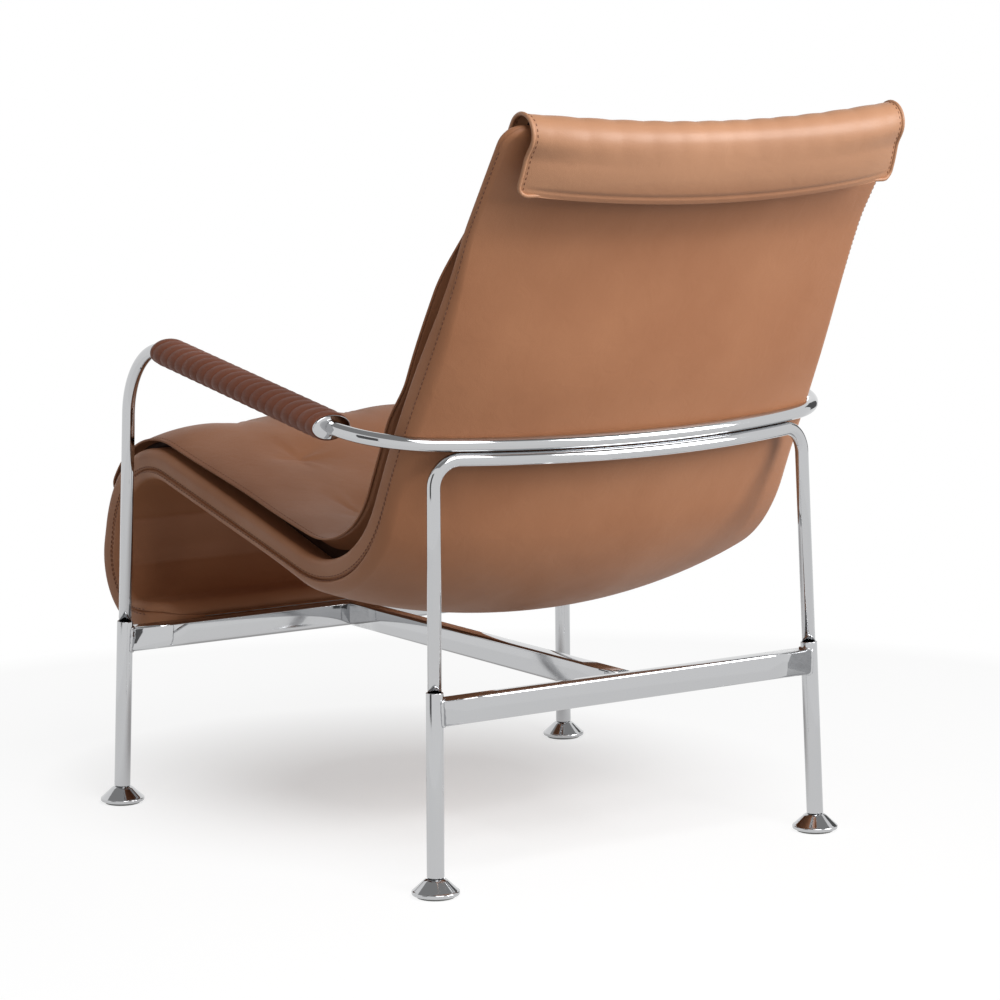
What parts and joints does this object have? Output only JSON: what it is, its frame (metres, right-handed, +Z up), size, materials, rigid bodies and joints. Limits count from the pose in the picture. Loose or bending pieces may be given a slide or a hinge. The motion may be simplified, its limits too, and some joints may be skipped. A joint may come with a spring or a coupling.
{
  "type": "upholstered lounge chair",
  "caption": "Lounge chair: chromed tube frame on four levelling feet, arms with spiral-wound leather pads, one-piece leather shell and a loose leather pad folded over the top.",
  "frame": {"origin": "on the floor, under the middle of the bounding box", "axes": "+Z up, the sitter faces -Y, +X is the sitter's left"},
  "size_m": [0.7286, 0.9478, 0.8724],
  "materials": {
    "chrome": "polished",
    "steel": "zinc plated",
    "glide": "matt",
    "arm_leather": "smooth, wound strip",
    "padding": "foam padding",
    "plywood": "bare plywood",
    "shell_leather": "smooth over padding",
    "pad_leather": "smooth over padding"
  },
  "bodies": {
    "chair_frame": {"leg_tube_front_left": "chrome", "leg_plug_front_left": "steel", "leg_tube_front_right": "chrome", "leg_plug_front_right": "steel", "leg_tube_rear_left": "chrome", "leg_plug_rear_left": "steel", "leg_tube_rear_right": "chrome", "leg_plug_rear_right": "steel", "front_rail": "chrome", "rear_rail": "chrome", "centre_beam": "chrome", "back_loop_tube": "chrome", "rear_u_tube": "chrome", "arm_tube_left": "chrome", "arm_tube_right": "chrome", "arm_end_disc_left": "chrome", "arm_end_disc_right": "chrome", "arm_wrap_left": "arm_leather", "arm_core_left": "padding", "carrier_screw_left": "steel", "back_stud_left": "steel", "arm_wrap_right": "arm_leather", "arm_core_right": "padding", "carrier_screw_right": "steel", "back_stud_right": "steel", "shell_carrier_angle": "steel", "shell_core": "plywood", "shell_rear_cover": "shell_leather", "shell_front_cover": "shell_leather", "loose_pad": "pad_leather"},
    "levelling_foot_front_left": {"foot_front_left": "chrome", "foot_glide_front_left": "glide"},
    "levelling_foot_front_right": {"foot_front_right": "chrome", "foot_glide_front_right": "glide"},
    "levelling_foot_rear_left": {"foot_rear_left": "chrome", "foot_glide_rear_left": "glide"},
    "levelling_foot_rear_right": {"foot_rear_right": "chrome", "foot_glide_rear_right": "glide"}
  },
  "joints": [
    {"name": "level_front_left", "type": "slide", "parent": "chair_frame", "child": "levelling_foot_front_left", "axis": [0.0267, -0.0321, -0.9991], "range_m": [0, 0.008]},
    {"name": "level_front_right", "type": "slide", "parent": "chair_frame", "child": "levelling_foot_front_right", "axis": [-0.0267, -0.0321, -0.9991], "range_m": [0, 0.008]},
    {"name": "level_rear_left", "type": "slide", "parent": "chair_frame", "child": "levelling_foot_rear_left", "axis": [0.0267, 0.0321, -0.9991], "range_m": [0, 0.008]},
    {"name": "level_rear_right", "type": "slide", "parent": "chair_frame", "child": "levelling_foot_rear_right", "axis": [-0.0267, 0.0321, -0.9991], "range_m": [0, 0.008]}
  ]
}
